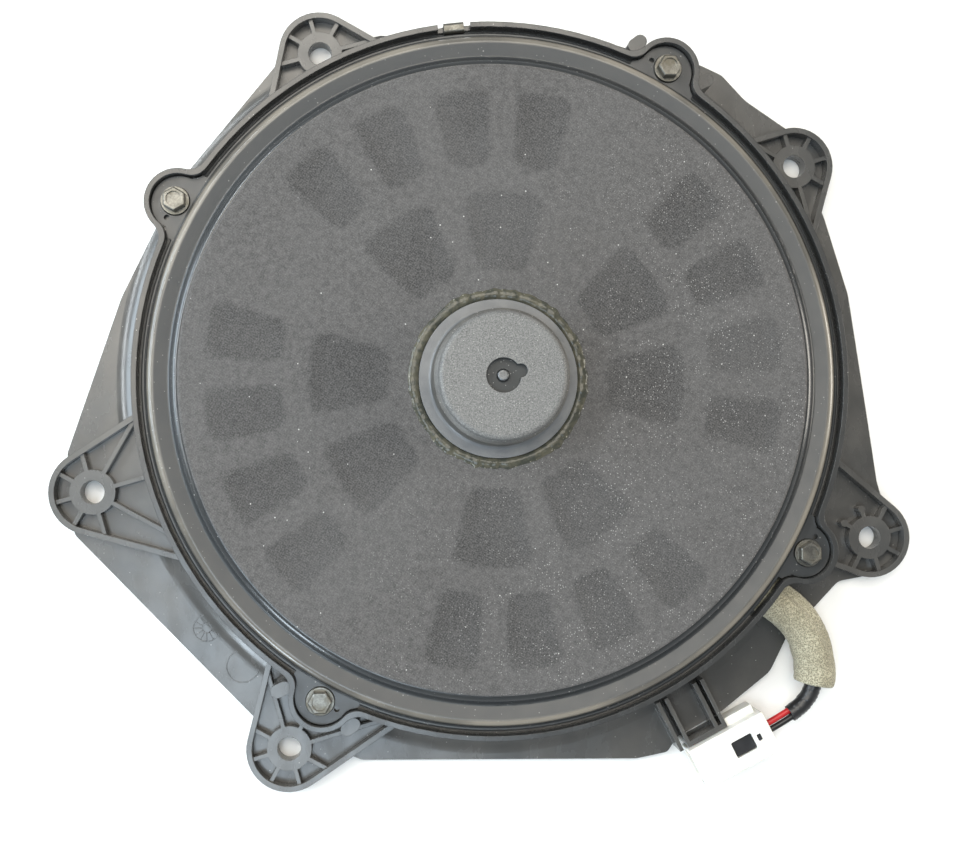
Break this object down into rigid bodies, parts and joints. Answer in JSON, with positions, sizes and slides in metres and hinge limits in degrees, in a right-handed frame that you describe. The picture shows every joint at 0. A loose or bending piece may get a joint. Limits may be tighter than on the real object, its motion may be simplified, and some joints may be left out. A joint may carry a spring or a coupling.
{
  "type": "car subwoofer speaker",
  "caption": "Shallow car subwoofer with a cloth-covered steel basket, a central magnet motor and a moulded bracket with ribbed mounting ears, lead and connector.",
  "frame": {"origin": "on the driver's axis, in the plane of the bracket's mounting face", "axes": "+Z along the driver's axis from the cone side towards the motor; -Y towards the connector's edge of the bracket"},
  "size_m": [0.3515, 0.3148, 0.054],
  "materials": {
    "bracket_plastic": "satin",
    "gasket_foam": "matte",
    "rim_paint": "gloss",
    "cloth": "matte",
    "cast_grey": "matte",
    "glue": "gloss",
    "nickel": "satin",
    "steel": "satin",
    "zinc": "satin",
    "coil_former": "satin",
    "coil_wire": "gloss",
    "spider_cloth": "matte",
    "ring_plastic": "matte",
    "cone_paper": "matte",
    "surround_rubber": "satin",
    "tinsel": "satin",
    "board": "matte",
    "tab_metal": "satin",
    "nylon": "satin",
    "lock_plastic": "matte",
    "red_insulation": "satin",
    "black_insulation": "satin",
    "tube_black": "satin",
    "olive_foam": "matte"
  },
  "bodies": {
    "frame": {"mounting_bracket": "bracket_plastic", "bracket_gasket": "gasket_foam", "basket": "rim_paint", "basket_gasket": "gasket_foam", "acoustic_cloth": "cloth", "motor_cup": "cast_grey", "adhesive_bead": "glue", "magnet": "nickel", "pole_plate": "steel", "centre_rivet": "steel", "spider": "spider_cloth", "spider_ring": "ring_plastic", "surround": "surround_rubber", "surround_gasket": "gasket_foam", "tinsel_lead_positive": "tinsel", "tinsel_lead_negative": "tinsel", "terminal_board": "board", "terminal_rivets": "tab_metal", "terminal_tab_positive": "tab_metal", "terminal_tab_negative": "tab_metal", "driver_screws": "zinc", "retaining_clip": "zinc", "connector_housing": "nylon", "connector_lock": "lock_plastic", "connector_terminals": "tab_metal", "wire_red": "red_insulation", "wire_black": "black_insulation", "tape_sleeve": "tube_black", "foam_sleeve": "olive_foam"},
    "moving_assembly": {"cone": "cone_paper", "dust_cap": "cone_paper", "voice_coil_former": "coil_former", "voice_coil_winding": "coil_wire"}
  },
  "joints": [
    {"name": "cone_travel", "type": "slide", "parent": "frame", "child": "moving_assembly", "axis": [0, 0, 1], "range_m": [-0.005, 0.005], "stiffness_N_per_m": 3000, "deforming": ["surround", "spider", "tinsel_lead_positive", "tinsel_lead_negative"]}
  ]
}
